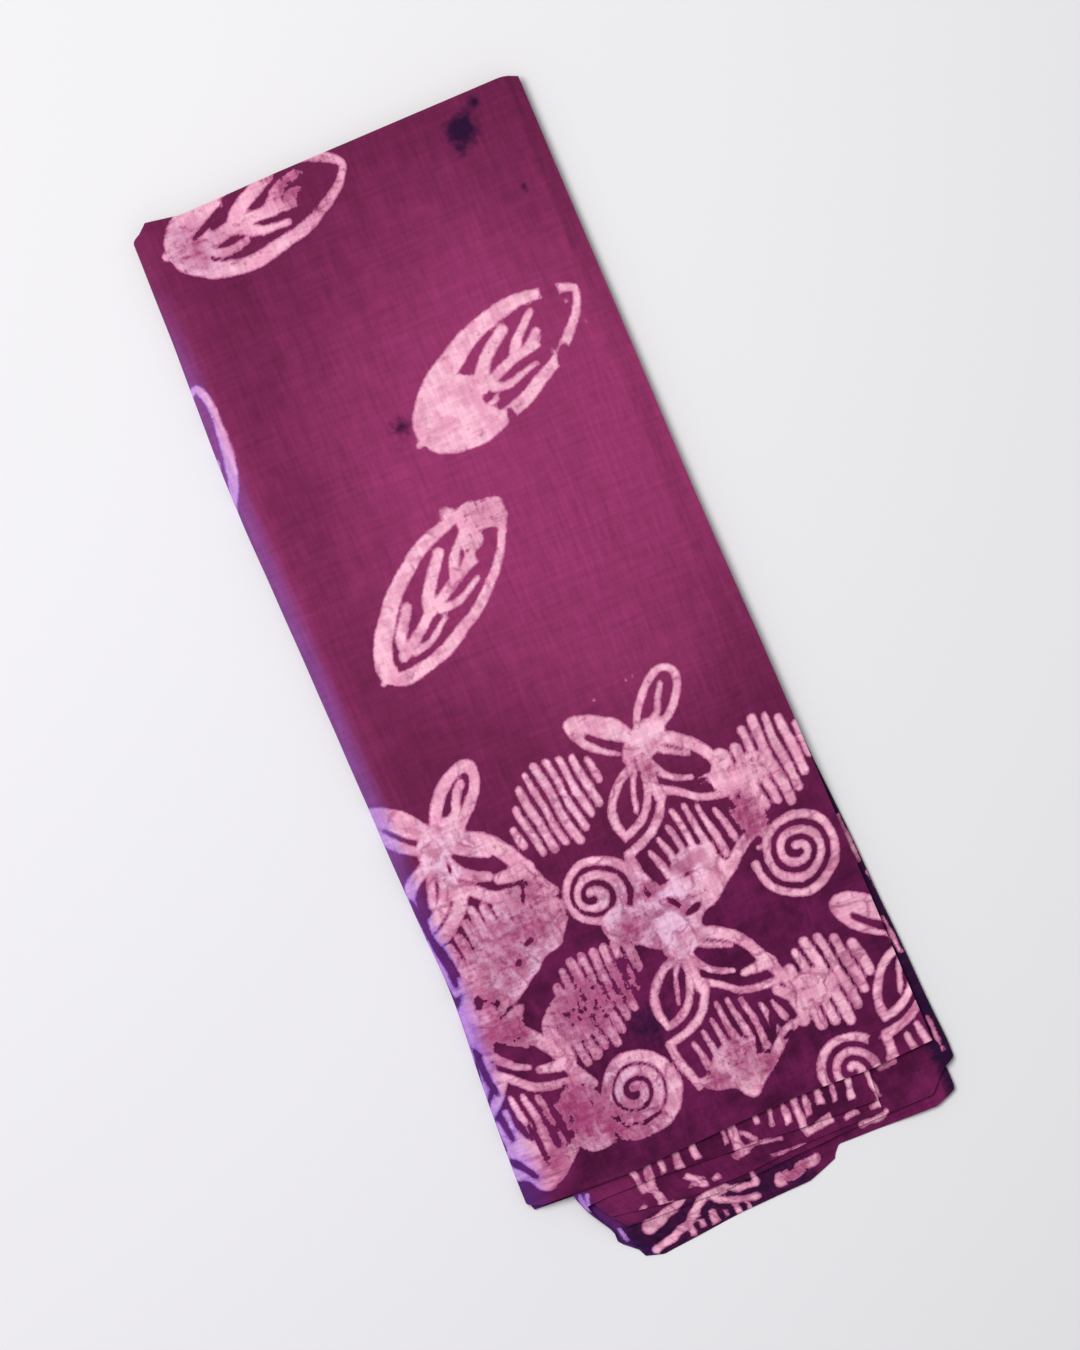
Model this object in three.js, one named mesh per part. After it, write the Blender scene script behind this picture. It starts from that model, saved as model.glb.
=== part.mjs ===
// A length of hand-stamped batik cotton that lies folded on a flat surface.
//
// It is one cloth. It is doubled across its length, so that a soft fold lies along the far edge and the
// two hems lie along the near edge. The doubled band is then folded back and forth into four passes:
// the first pass is the top, and the fourth lies on the surface. Following the cloth from its inner cut
// end, the band runs through the second pass to the left, turns down into the third, runs right, turns
// down into the fourth, runs left, and comes up round both into the first, which ends on the right.
//
// Millimetres, +X to the right, +Y towards the doubled fold, +Z up. The origin is the middle of the
// underside's box. In the code, "across" runs to the right from the top pass's left edge, "down" runs
// from the doubled fold to the hems, and "off" is the distance from the band's middle to its ply A.

import * as THREE from 'three';

// Driving dimensions
const CLOTH = 1.0; // thickness of the sheet
const PLY_GAP = 0.4; // air between the two plies of the doubled band
const PASS_GAP = 0.6; // air between two passes
const HALF_BAND = CLOTH + PLY_GAP / 2;
const PASS_STEP = 2 * HALF_BAND + PASS_GAP;
const LEVEL = {
  1: HALF_BAND + 3 * PASS_STEP,
  2: HALF_BAND + 2 * PASS_STEP,
  3: HALF_BAND + PASS_STEP,
  4: HALF_BAND,
};

// Where the long folds and cut ends lie across, at stations down from the doubled fold. "outerLeft",
// "innerLeft" and "rightFold" are the turns' outermost reach, "secondEnd" and "firstEnd" the cut ends.
// "inset" is how far ply A turns inside ply B at the inner turn. "bulge" is how far it stands out from
// ply B at the right turn.
const LINES = table(
  ['down', 'outerLeft', 'innerLeft', 'inset', 'secondEnd', 'rightFold', 'bulge', 'firstEnd'],
  [
    [-10, -0.4, 4.0, 0.0, 220.0, 228.0, 0.0, 230.2],
    [60, -1.6, 4.2, 0.0, 219.6, 228.4, 0.0, 230.8],
    [150, -4.0, 4.6, 0.0, 219.0, 229.6, 0.0, 231.8],
    [240, -2.0, 6.5, 0.0, 217.6, 231.4, 0.4, 232.6],
    [340, 0.0, 10.0, 0.0, 214.0, 234.6, 1.4, 235.0],
    [400, 1.2, 12.5, 0.0, 211.0, 237.0, 2.6, 236.0],
    [450, 2.8, 15.0, 0.0, 208.0, 240.0, 3.6, 236.6],
    [490, 0.2, 17.5, 0.0, 205.0, 241.6, 4.2, 237.0],
    [530, -2.0, 19.6, 0.4, 202.4, 243.8, 4.5, 237.4],
    [562, -3.1, 21.6, 1.6, 200.0, 245.0, 4.5, 237.8],
    [576, -3.3, 23.0, 3.2, 199.0, 246.0, 4.5, 237.8],
    [586, -3.3, 26.0, 4.6, 198.2, 246.0, 4.5, 237.8],
    [596, -3.3, 31.5, 5.0, 198.0, 246.0, 4.5, 237.8],
    [611, -3.3, 37.5, 5.0, 198.0, 246.0, 4.5, 237.8],
    [626, -3.3, 45.0, 5.0, 198.0, 246.0, 4.5, 237.8],
  ],
);

// The band's sections, in the cloth's own order. "along" counts them: 0 to 1 is the second pass.
const SECOND_PASS = 0;
const INNER_TURN = 1;
const THIRD_PASS = 2;
const RIGHT_TURN = 3;
const FOURTH_PASS = 4;
const OUTER_TURN = 5;
const FIRST_PASS = 6;
const CLOTH_END = 7;

// How far down the doubled fold lies, along the band
const FAR_FOLD = table(
  ['along', 'down'],
  [
    [0.0, -4.0],
    [0.9, -4.6],
    [1.5, -1.6],
    [2.1, -4.8],
    [2.9, -4.4],
    [3.5, -2.6],
    [4.1, -3.8],
    [4.9, -3.2],
    [5.5, 0.0],
    [6.0, -3.0],
    [6.1, -7.7],
    [6.17, -4.2],
    [6.38, -5.6],
    [6.84, -7.0],
    [6.92, -6.0],
    [7.0, -4.0],
  ],
);

// How far down each ply's hem lies, along the band. Ply A faces up on the first pass.
const HEMS = table(
  ['along', 'a', 'b'],
  [
    [0.0, 598.0, 591.0],
    [0.27, 598.0, 589.0],
    [0.54, 601.0, 586.0],
    [0.76, 601.0, 583.7],
    [0.93, 596.5, 583.5],
    [1.0, 594.5, 584.0],
    [1.5, 598.0, 602.0],
    [2.0, 603.0, 622.0],
    [2.05, 604.0, 625.0],
    [2.31, 605.0, 620.0],
    [2.52, 602.5, 618.4],
    [2.62, 601.5, 612.5],
    [2.65, 601.0, 605.8],
    [2.94, 600.0, 607.0],
    [3.0, 598.0, 602.0],
    [3.5, 584.0, 598.0],
    [4.0, 583.0, 590.0],
    [4.5, 578.0, 582.0],
    [5.0, 573.0, 575.0],
    [5.5, 569.5, 568.0],
    [6.0, 572.0, 567.0],
    [6.02, 574.0, 568.5],
    [6.25, 575.7, 571.0],
    [6.5, 573.0, 568.5],
    [6.67, 572.0, 567.5],
    [6.86, 573.6, 568.5],
    [7.0, 572.0, 567.0],
  ],
);

// Soft humps where the passes lie loosely on each other: middle, height on the top pass, and reach
const HUMPS = table(
  ['across', 'down', 'height', 'reach'],
  [
    [60, 110, 0.7, 55],
    [165, 215, 0.9, 70],
    [90, 345, 0.6, 60],
    [180, 455, 1.0, 50],
    [90, 500, 0.8, 45],
  ],
);
const HUMP_SHARE = { 1: 1.0, 2: 0.65, 3: 0.3, 4: 0.0 };

// Past the fourth pass's hem the other plies sink towards the surface, each less than the one under it
const SINK = { start: 586, length: 26, fadeFrom: 225, fadeTo: 185 };
const SINK_DEPTH = { '3b': 2.6, '3a': 2.3, '2a': 1.9, '2b': 1.5 };

// The first pass sinks beside the inner turn on the left, and past the second pass's cut end on the right
const LEFT_SINK = { slope: 0.3, spare: 3.0, most: 4.6, start: 6.0 };
const RIGHT_SINK = { depth: 2.7, start: 1.0, length: 11.0 };
const FIRST_PASS_SPLIT = { left: 0.1, right: 0.85 }; // shares of the first pass where those two begin

// Columns along the band, and stations down each ply
const COLUMNS = {
  [SECOND_PASS]: [0, 0.12, 0.27, 0.4, 0.54, 0.65, 0.76, 0.85, 0.93],
  [INNER_TURN]: steps(6),
  [THIRD_PASS]: [0, 0.05, 0.14, 0.31, 0.42, 0.52, 0.58, 0.62, 0.65, 0.75, 0.85, 0.94],
  [RIGHT_TURN]: steps(6),
  [FOURTH_PASS]: steps(7),
  [OUTER_TURN]: steps(8),
  [FIRST_PASS]: [0, 0.02, 0.06, 0.1, 0.17, 0.25, 0.38, 0.5, 0.6, 0.67, 0.77, 0.85, 0.886, 0.92, 0.96],
};
const STATIONS = [60, 150, 240, 340, 400, 450, 490, 530, 562];
const HEM_STATIONS = 5; // from the last station to the hem
const FOLD_STEPS = 4; // round the doubled fold
const FABRIC_COLOUR = 0x7a2a5b;

function table(names, rows) {
  return rows.map((row) => Object.fromEntries(names.map((name, i) => [name, row[i]])));
}

function steps(count) {
  return Array.from({ length: count }, (_, i) => i / count);
}

function mix(from, to, share) {
  return from + (to - from) * share;
}

function clamp01(value) {
  return Math.min(1, Math.max(0, value));
}

function smooth(value) {
  const t = clamp01(value);
  return t * t * (3 - 2 * t);
}

// A named column of a table, straight between its rows
function read(rows, key, name, at) {
  const next = rows.findIndex((row) => row[key] >= at);
  if (next <= 0) {
    return next === 0 ? rows[0][name] : rows[rows.length - 1][name];
  }
  const [low, high] = [rows[next - 1], rows[next]];
  return mix(low[name], high[name], (at - low[key]) / (high[key] - low[key]));
}

function line(name, down) {
  return read(LINES, 'down', name, down);
}

function humpAt(across, down) {
  return HUMPS.reduce((sum, hump) => {
    const away = Math.hypot(across - hump.across, down - hump.down) / hump.reach;
    return sum + hump.height * Math.exp(-away * away);
  }, 0);
}

// How deep the first pass may sink on the left: the more room beside the inner turn, the deeper
function leftSinkDepth(down) {
  const room = line('innerLeft', down) - line('outerLeft', down) - 2 * HALF_BAND;
  return Math.min(LEFT_SINK.most, Math.max(0, room - LEFT_SINK.spare) * LEFT_SINK.slope);
}

function outerTurnCentre(down) {
  const radius = (LEVEL[1] - leftSinkDepth(down) - LEVEL[4]) / 2;
  return line('outerLeft', down) + radius + HALF_BAND;
}

// Ply A turns inside ply B, and lies further in near the hems
function innerTurnCentre(down, ply) {
  const inset = ply === 'a' ? line('inset', down) : 0;
  return line('innerLeft', down) + (LEVEL[2] - LEVEL[3]) / 2 + HALF_BAND + inset;
}

function rightTurnCentre(down) {
  return line('rightFold', down) - line('bulge', down) - (LEVEL[3] - LEVEL[4]) / 2 - HALF_BAND;
}

// Height of a pass's middle, for ply a or b
function heightOf(pass, ply, across, down) {
  let height = LEVEL[pass] + HUMP_SHARE[pass] * humpAt(across, down);
  const sink = SINK_DEPTH[pass + ply] ?? 0;
  const fade = smooth((SINK.fadeFrom - across) / (SINK.fadeFrom - SINK.fadeTo));
  height -= sink * fade * smooth((down - SINK.start) / SINK.length);
  if (pass === 1) {
    const start = line('innerLeft', down) + LEFT_SINK.start;
    height -= leftSinkDepth(down) * smooth((start - across) / (start - outerTurnCentre(down)));
    const from = line('secondEnd', down) + RIGHT_SINK.start;
    height -= RIGHT_SINK.depth * smooth((across - from) / RIGHT_SINK.length);
  }
  return height;
}

function acrossFirstPass(share, down) {
  const left = line('innerLeft', down) + LEFT_SINK.start;
  const right = line('secondEnd', down) + RIGHT_SINK.start;
  if (share < FIRST_PASS_SPLIT.left) {
    return mix(outerTurnCentre(down), left, share / FIRST_PASS_SPLIT.left);
  }
  if (share < FIRST_PASS_SPLIT.right) {
    const part = (share - FIRST_PASS_SPLIT.left) / (FIRST_PASS_SPLIT.right - FIRST_PASS_SPLIT.left);
    return mix(left, right, part);
  }
  return mix(right, line('firstEnd', down), (share - FIRST_PASS_SPLIT.right) / (1 - FIRST_PASS_SPLIT.right));
}

// A pass: the band's ply A lies on the side that "up" names
function onPass(pass, up, across, down, off, ply) {
  return [across, down, heightOf(pass, ply, across, down) + up * off];
}

// A turn: half a circle from one pass to another, which starts at the angle "from" and sweeps by "sweep"
function onTurn({ upper, lower, centre, from, sweep, grow, bulge = 0 }, share, down, off, ply) {
  const top = heightOf(upper, ply, centre, down);
  const bottom = heightOf(lower, ply, centre, down);
  const radius = (top - bottom) / 2 + grow * off;
  const angle = from + sweep * share;
  const reach = radius + (ply === 'a' ? bulge : 0);
  return [centre + reach * Math.cos(angle), down, (top + bottom) / 2 + radius * Math.sin(angle)];
}

// The point of the band at "along", "down" and "off"
function bandPoint(along, down, off) {
  const ply = off > 0 ? 'a' : 'b';
  const section = Math.min(Math.floor(along), FIRST_PASS);
  const share = along - section;
  const inner = innerTurnCentre(down, ply);
  const right = rightTurnCentre(down);
  const outer = outerTurnCentre(down);
  const half = Math.PI / 2;
  switch (section) {
    case SECOND_PASS:
      return onPass(2, -1, mix(line('secondEnd', down), inner, share), down, off, ply);
    case INNER_TURN: {
      const turn = { upper: 2, lower: 3, centre: inner, from: half, sweep: Math.PI, grow: -1 };
      return onTurn(turn, share, down, off, ply);
    }
    case THIRD_PASS:
      return onPass(3, 1, mix(inner, right, share), down, off, ply);
    case RIGHT_TURN: {
      const bulge = line('bulge', down);
      const turn = { upper: 3, lower: 4, centre: right, from: half, sweep: -Math.PI, grow: 1, bulge };
      return onTurn(turn, share, down, off, ply);
    }
    case FOURTH_PASS:
      return onPass(4, -1, mix(right, outer, share), down, off, ply);
    case OUTER_TURN: {
      const turn = { upper: 1, lower: 4, centre: outer, from: -half, sweep: -Math.PI, grow: 1 };
      return onTurn(turn, share, down, off, ply);
    }
    default:
      return onPass(1, 1, acrossFirstPass(share, down), down, off, ply);
  }
}

// One face of the doubled band at "along", from ply A's hem round the doubled fold to ply B's hem.
// "off" is its distance from the band's middle: half a band outside, half the ply gap inside.
function foldedFace(along, off) {
  const foldCentre = read(FAR_FOLD, 'along', 'down', along) + HALF_BAND;
  const lastStation = STATIONS[STATIONS.length - 1];
  const plyDowns = (hem) => {
    const toHem = steps(HEM_STATIONS).map((share) => mix(hem, lastStation, share));
    return [...toHem, ...[...STATIONS].reverse(), foldCentre];
  };
  const plyA = plyDowns(read(HEMS, 'along', 'a', along)).map((down) => [down, off]);
  const plyB = plyDowns(read(HEMS, 'along', 'b', along)).map((down) => [down, -off]);
  const round = steps(FOLD_STEPS).slice(1).map((share) => {
    const angle = Math.PI * share;
    return [foldCentre - off * Math.sin(angle), off * Math.cos(angle)];
  });
  return [...plyA, ...round, ...plyB.reverse()].map(([down, away]) => bandPoint(along, down, away));
}

// The closed sheet: an outer and an inner face over all columns, joined at the hems and the cut ends
function clothGeometry() {
  const alongs = Object.entries(COLUMNS).flatMap(([section, shares]) => {
    return shares.map((share) => Number(section) + share);
  });
  alongs.push(CLOTH_END);
  const loops = alongs.map((along) => {
    return [...foldedFace(along, HALF_BAND), ...foldedFace(along, PLY_GAP / 2).reverse()];
  });
  const around = loops[0].length;
  const index = [];
  const quad = (a, b, c, d) => index.push(a, b, c, a, c, d);
  for (let column = 0; column + 1 < loops.length; column += 1) {
    for (let i = 0; i < around; i += 1) {
      const next = (i + 1) % around;
      const here = column * around;
      quad(here + i, here + around + i, here + around + next, here + next);
    }
  }
  const last = (loops.length - 1) * around;
  for (let i = 0; i + 1 < around / 2; i += 1) {
    const facing = around - 1 - i;
    quad(i, i + 1, facing - 1, facing);
    quad(last + i, last + facing, last + facing - 1, last + i + 1);
  }
  const geometry = new THREE.BufferGeometry();
  const positions = loops.flat().flatMap(([across, down, height]) => [across, -down, height]);
  geometry.setAttribute('position', new THREE.Float32BufferAttribute(positions, 3));
  geometry.setIndex(index);
  geometry.computeBoundingBox();
  const middle = geometry.boundingBox.getCenter(new THREE.Vector3());
  geometry.translate(-middle.x, -middle.y, 0);
  geometry.computeVertexNormals();
  return geometry;
}

const fabric = new THREE.MeshStandardMaterial({ color: FABRIC_COLOUR, roughness: 0.85, metalness: 0 });

const batikLength = new THREE.Group();
const cloth = new THREE.Mesh(clothGeometry(), fabric);
cloth.name = 'cloth';
batikLength.add(cloth);

export default batikLength;
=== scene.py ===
"""A length of hand-stamped batik cotton, doubled and then folded back and forth into four passes.

The cloth is worked out in millimetres, in three numbers. "along" follows the doubled band: 0 to 1 is the
second pass, then the inner turn, the third pass, the right turn, the fourth pass, the outer turn and the
first pass, which is the top. "down" runs from the doubled fold to the hems. "off" is the distance from the
band's middle to a ply: ply A is on its positive side, ply B on the other. The mesh is in metres, in the
part's own frame: +X across to the right, +Y towards the doubled fold, +Z up.
"""

import bpy
import numpy as np
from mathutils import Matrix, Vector


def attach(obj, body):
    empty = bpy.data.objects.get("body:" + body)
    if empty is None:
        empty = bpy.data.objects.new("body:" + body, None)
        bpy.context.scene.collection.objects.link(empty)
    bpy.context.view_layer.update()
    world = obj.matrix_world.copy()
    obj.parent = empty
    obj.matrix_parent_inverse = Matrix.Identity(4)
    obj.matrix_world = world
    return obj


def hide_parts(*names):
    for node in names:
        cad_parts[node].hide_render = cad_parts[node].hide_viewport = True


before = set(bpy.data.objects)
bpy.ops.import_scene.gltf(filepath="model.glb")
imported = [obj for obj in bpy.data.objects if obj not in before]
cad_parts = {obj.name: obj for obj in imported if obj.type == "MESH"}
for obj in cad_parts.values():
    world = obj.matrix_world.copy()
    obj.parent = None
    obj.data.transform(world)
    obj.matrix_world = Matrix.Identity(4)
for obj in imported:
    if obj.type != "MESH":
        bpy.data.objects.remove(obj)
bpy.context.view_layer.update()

MM = 0.001

# The folds' sizes, in millimetres: those of the solid
MIDDLE = np.array([121.0, 308.65])  # the origin's place, across and down
HALF_BAND = 1.2
LEVEL = {1: 10.2, 2: 7.2, 3: 4.2, 4: 1.2}
PLY_OFF = 0.9  # where the thin cloth runs, near the outer face of the solid's ply

# Where the long folds and cut ends lie across, at stations down from the doubled fold
LINE_NAMES = ("down", "outer left", "inner left", "inset", "second end", "right fold", "bulge", "first end")
LINES = np.array([
    [-10, -0.4, 4.0, 0.0, 220.0, 228.0, 0.0, 230.2],
    [60, -1.6, 4.2, 0.0, 219.6, 228.4, 0.0, 230.8],
    [150, -4.0, 4.6, 0.0, 219.0, 229.6, 0.0, 231.8],
    [240, -2.0, 6.5, 0.0, 217.6, 231.4, 0.4, 232.6],
    [340, 0.0, 10.0, 0.0, 214.0, 234.6, 1.4, 235.0],
    [400, 1.2, 12.5, 0.0, 211.0, 237.0, 2.6, 236.0],
    [450, 2.8, 15.0, 0.0, 208.0, 240.0, 3.6, 236.6],
    [490, 0.2, 17.5, 0.0, 205.0, 241.6, 4.2, 237.0],
    [530, -2.0, 19.6, 0.4, 202.4, 243.8, 4.5, 237.4],
    [562, -3.1, 21.6, 1.6, 200.0, 245.0, 4.5, 237.8],
    [576, -3.3, 23.0, 3.2, 199.0, 246.0, 4.5, 237.8],
    [586, -3.3, 26.0, 4.6, 198.2, 246.0, 4.5, 237.8],
    [596, -3.3, 31.5, 5.0, 198.0, 246.0, 4.5, 237.8],
    [602, -3.3, 35.5, 5.0, 198.0, 246.0, 4.5, 237.8],
    [611, -3.3, 36.8, 5.0, 198.0, 246.0, 4.5, 237.8],
    [615, -3.3, 41.5, 5.0, 198.0, 246.0, 4.5, 237.8],
    [626, -3.3, 45.0, 5.0, 198.0, 246.0, 4.5, 237.8],
])

# How far down the doubled fold lies, along the band
FAR_FOLD = np.array([
    [0.0, -4.0], [0.9, -4.6], [1.5, -1.6], [2.1, -4.8], [2.9, -4.4], [3.5, -2.6], [4.1, -3.8],
    [4.9, -3.2], [5.5, 0.0], [6.0, -3.0], [6.1, -7.7], [6.17, -4.2], [6.38, -5.6], [6.84, -7.0],
    [6.92, -6.0], [7.0, -4.0],
])

# How far down the hems of plies A and B lie, along the band
HEMS = np.array([
    [0.0, 598.0, 591.0], [0.27, 598.0, 589.0], [0.54, 601.0, 586.0], [0.76, 601.0, 583.7],
    [0.93, 596.5, 583.5], [1.0, 594.5, 584.0], [1.5, 598.0, 602.0], [2.0, 603.0, 622.0],
    [2.05, 604.0, 625.0], [2.31, 605.0, 620.0], [2.52, 602.5, 618.4], [2.62, 601.5, 612.5],
    [2.65, 601.0, 605.8], [2.94, 600.0, 607.0], [2.98, 592.0, 604.0], [3.0, 588.5, 602.0],
    [3.5, 584.0, 598.0], [4.0, 583.0, 590.0], [4.5, 578.0, 582.0], [5.0, 573.0, 575.0],
    [5.5, 569.5, 568.0], [6.0, 572.0, 567.0], [6.02, 574.0, 568.5], [6.25, 575.7, 571.0],
    [6.5, 573.0, 568.5], [6.67, 572.0, 567.5], [6.86, 573.6, 568.5], [7.0, 572.0, 567.0],
])

# Soft humps: across, down, height on the top pass, reach
HUMPS = [
    (60, 110, 0.7, 55), (165, 215, 0.9, 70), (90, 345, 0.6, 60), (180, 455, 1.0, 50), (90, 500, 0.8, 45),
]
HUMP_SHARE = {1: 1.0, 2: 0.65, 3: 0.3, 4: 0.0}

# Past the fourth pass's hem the other plies sink towards the surface
SINK_START, SINK_LENGTH, SINK_FADE = 586.0, 26.0, (225.0, 185.0)
SINK_DEPTH = {(3, "b"): 2.6, (3, "a"): 2.3, (2, "a"): 1.9, (2, "b"): 1.5}

# The first pass sinks beside the inner turn on the left, and past the second pass's cut end on the right
LEFT_SINK = {"slope": 0.3, "spare": 3.0, "least": 1.1, "most": 4.6, "start": 6.0, "reach": 15.0}
RIGHT_SINK = {"depth": 2.7, "start": 1.0, "length": 11.0}
FIRST_SPLIT = (0.1, 0.85)  # shares of the first pass where those two begin

# Creases of the first pass: from across, down to across, down; height, half width
CREASES = [
    (223, -8, 219, 150, 0.80, 2.0),
    (219, 150, 215, 330, 0.55, 2.4),
    (12, 40, 16, 330, 0.30, 5.0),
    (16, 330, 27, 572, 0.75, 4.0),
    (40, 556, 120, 566, 0.70, 4.5),
    (112, 562, 168, 552, -0.60, 5.0),
    (60, 452, 118, 470, 0.60, 2.6),
    (106, 448, 136, 456, -0.50, 2.2),
    (118, 430, 172, 462, 0.60, 3.0),
    (30, 440, 74, 430, 0.60, 2.6),
    (24, 462, 58, 448, -0.50, 2.4),
    (52, 500, 100, 560, -0.55, 3.2),
    (28, 520, 62, 540, 0.55, 2.6),
    (150, 300, 232, 288, 0.22, 6.0),
    (10, 292, 110, 286, -0.20, 6.0),
    (60, 180, 70, 40, 0.22, 7.0),
    (176, 560, 214, 545, 0.30, 4.0),
    (212, 133, 234, 135, -0.40, 2.4),
]


def cubic(a, b, slope_a, slope_b, t):
    """The cubic that runs from a, with slope_a, at t = 0 to b, with slope_b, at t = 1."""
    start = a * (1 + 2 * t) * (1 - t) ** 2 + slope_a * t * (1 - t) ** 2
    return start + b * t * t * (3 - 2 * t) + slope_b * t * t * (t - 1)


def curve(keys, values, at):
    """A smooth curve through the rows: cubic pieces whose slope at each row is the mean slope there."""
    slopes = np.gradient(values, keys)
    i = np.clip(np.searchsorted(keys, at) - 1, 0, len(keys) - 2)
    width = keys[i + 1] - keys[i]
    t = np.clip((at - keys[i]) / width, 0, 1)
    return cubic(values[i], values[i + 1], slopes[i] * width, slopes[i + 1] * width, t)


def line(name, down):
    """Where a long fold or a cut end lies across: the smooth curve through its column of the stations."""
    return curve(LINES[:, 0], LINES[:, LINE_NAMES.index(name)], down)


def smooth(value):
    """0 below 0 and 1 above 1, with a level start and end."""
    t = np.clip(value, 0, 1)
    return t * t * (3 - 2 * t)


def mix(a, b, share):
    """The value that lies a share of the way from a to b."""
    return a + (b - a) * share


def hump_at(across, down):
    """The sum of round humps, each its height times a bell curve of the distance from its middle."""
    total = np.zeros_like(across)
    for middle_across, middle_down, height, reach in HUMPS:
        away = np.hypot(across - middle_across, down - middle_down) / reach
        total += height * np.exp(-away * away)
    return total


def crease_at(across, down):
    """The sum of soft ridges and troughs, each its height times a bell curve of the distance to its line."""
    total = np.zeros_like(across)
    for a0, d0, a1, d1, height, half_width in CREASES:
        run = np.array([a1 - a0, d1 - d0], float)
        share = ((across - a0) * run[0] + (down - d0) * run[1]) / (run @ run)
        near = np.clip(share, 0, 1)
        away = np.hypot(across - a0 - near * run[0], down - d0 - near * run[1]) / half_width
        total += height * np.exp(-away * away)
    return total


def ripple(across, down, phase):
    """Small uneven waves: crossing sine waves about 30, 45 and 70 mm long, which grow near the hems."""
    near_hem = smooth((down - 520) / 60)
    short = 0.08 * np.sin(across / 5 + down / 11 + 3 * phase)
    middle = 0.12 * np.sin(down / 7.5 - across / 31 + 2 * phase)
    long = 0.10 * np.sin(across / 13.2 + down / 21 + phase)
    return short * (0.5 + 2 * near_hem) + (long + middle) * (0.6 + near_hem)


def left_sink_depth(down):
    """How far the first pass sinks beside the inner turn: a share of the room there, within limits."""
    room = line("inner left", down) - line("outer left", down) - 2 * HALF_BAND
    depth = (room - LEFT_SINK["spare"]) * LEFT_SINK["slope"]
    return np.clip(depth, LEFT_SINK["least"], LEFT_SINK["most"])


def outer_centre(down):
    """The outer turn's middle: its radius and half the band's thickness in from the outer left fold."""
    radius = (LEVEL[1] - left_sink_depth(down) - LEVEL[4]) / 2
    return line("outer left", down) + radius + HALF_BAND


def inner_centre(down, ply):
    """The inner turn's middle, which lies further in on ply A by the inset."""
    inset = line("inset", down) if ply == "a" else 0
    return line("inner left", down) + (LEVEL[2] - LEVEL[3]) / 2 + HALF_BAND + inset


def right_centre(down):
    """The right turn's middle, which lies in from the right fold by the bulge too."""
    return line("right fold", down) - line("bulge", down) - (LEVEL[3] - LEVEL[4]) / 2 - HALF_BAND


def height_of(number, ply, across, down):
    """A pass's middle: its level, its share of the humps, and what sinks past what carries it."""
    height = LEVEL[number] + HUMP_SHARE[number] * hump_at(across, down)
    fade = smooth((SINK_FADE[0] - across) / (SINK_FADE[0] - SINK_FADE[1]))
    sink = SINK_DEPTH.get((number, ply), 0)
    height = height - sink * fade * smooth((down - SINK_START) / SINK_LENGTH)
    if number == 1:
        centre = outer_centre(down)
        start = np.maximum(line("inner left", down) + LEFT_SINK["start"], centre + LEFT_SINK["reach"])
        height = height - left_sink_depth(down) * smooth((start - across) / (start - centre))
        past = across - line("second end", down) - RIGHT_SINK["start"]
        height = height - RIGHT_SINK["depth"] * smooth(past / RIGHT_SINK["length"])
    return height


def on_pass(number, up, across, down, off, ply):
    """A ply on a pass: the pass's height, off above or below it, with waves and the first pass's creases."""
    height = height_of(number, ply, across, down) + up * off
    phase = 1.7 * number + (0.6 if ply == "b" else 0)
    height = height + ripple(across, down, phase) * (0.3 if number == 4 else 1)
    if number == 1:
        height = height + crease_at(across, down) * (1 if ply == "a" else 0.6)
    return across, height


def on_turn(upper, lower, centre, start, sweep, grow, share, down, off, ply, bulge=0):
    """Half a circle from one pass to another, which starts at the angle start and sweeps by sweep."""
    top = on_pass(upper, 0, centre, down, 0, ply)[1]
    bottom = on_pass(lower, 0, centre, down, 0, ply)[1]
    radius = (top - bottom) / 2 + grow * off
    angle = start + sweep * share
    reach = radius + (bulge if ply == "a" else 0)
    return centre + reach * np.cos(angle), (top + bottom) / 2 + radius * np.sin(angle)


def band_points(along, down, off, ply):
    """The cloth's points, in mm, as across, down and height: each section of the band in turn."""
    across, height = np.empty_like(down), np.empty_like(down)
    section = np.minimum(along.astype(int), 6)
    for number in np.unique(section):
        here = section == number
        d, o, share = down[here], off[here], (along - section)[here]
        inner, right, outer = inner_centre(d, ply), right_centre(d), outer_centre(d)
        if number == 0:
            found = on_pass(2, -1, mix(line("second end", d), inner, share), d, o, ply)
        elif number == 1:
            found = on_turn(2, 3, inner, np.pi / 2, np.pi, -1, share, d, o, ply)
        elif number == 2:
            found = on_pass(3, 1, mix(inner, right, share), d, o, ply)
        elif number == 3:
            found = on_turn(3, 4, right, np.pi / 2, -np.pi, 1, share, d, o, ply, line("bulge", d))
        elif number == 4:
            found = on_pass(4, -1, mix(right, outer, share), d, o, ply)
        elif number == 5:
            found = on_turn(1, 4, outer, -np.pi / 2, -np.pi, 1, share, d, o, ply)
        else:
            left_edge = line("inner left", d) + LEFT_SINK["start"]
            right_edge = line("second end", d) + RIGHT_SINK["start"]
            x = mix(outer, left_edge, share / FIRST_SPLIT[0])
            middle = (share - FIRST_SPLIT[0]) / (FIRST_SPLIT[1] - FIRST_SPLIT[0])
            x = np.where(share > FIRST_SPLIT[0], mix(left_edge, right_edge, middle), x)
            past = (share - FIRST_SPLIT[1]) / (1 - FIRST_SPLIT[1])
            x = np.where(share > FIRST_SPLIT[1], mix(right_edge, line("first end", d), past), x)
            found = on_pass(1, 1, x, d, o, ply)
        across[here], height[here] = found
    return np.stack([across, down, height], -1)


# The print
# A place on the cloth is one complex number in mm: across + down j. Each mark gives the distance in mm to
# its own edge, positive inside it, so marks join by taking the larger and are cut by taking the smaller.

# Distances to start from: further than any mark, and bare cloth well away from a mark's edge
FAR, BARE = 1e3, -9.0


def union(*marks):
    """Several marks as one."""
    return np.maximum.reduce(marks)


def less(mark, cut):
    """A mark without what another covers."""
    return np.minimum(mark, -cut)


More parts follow.
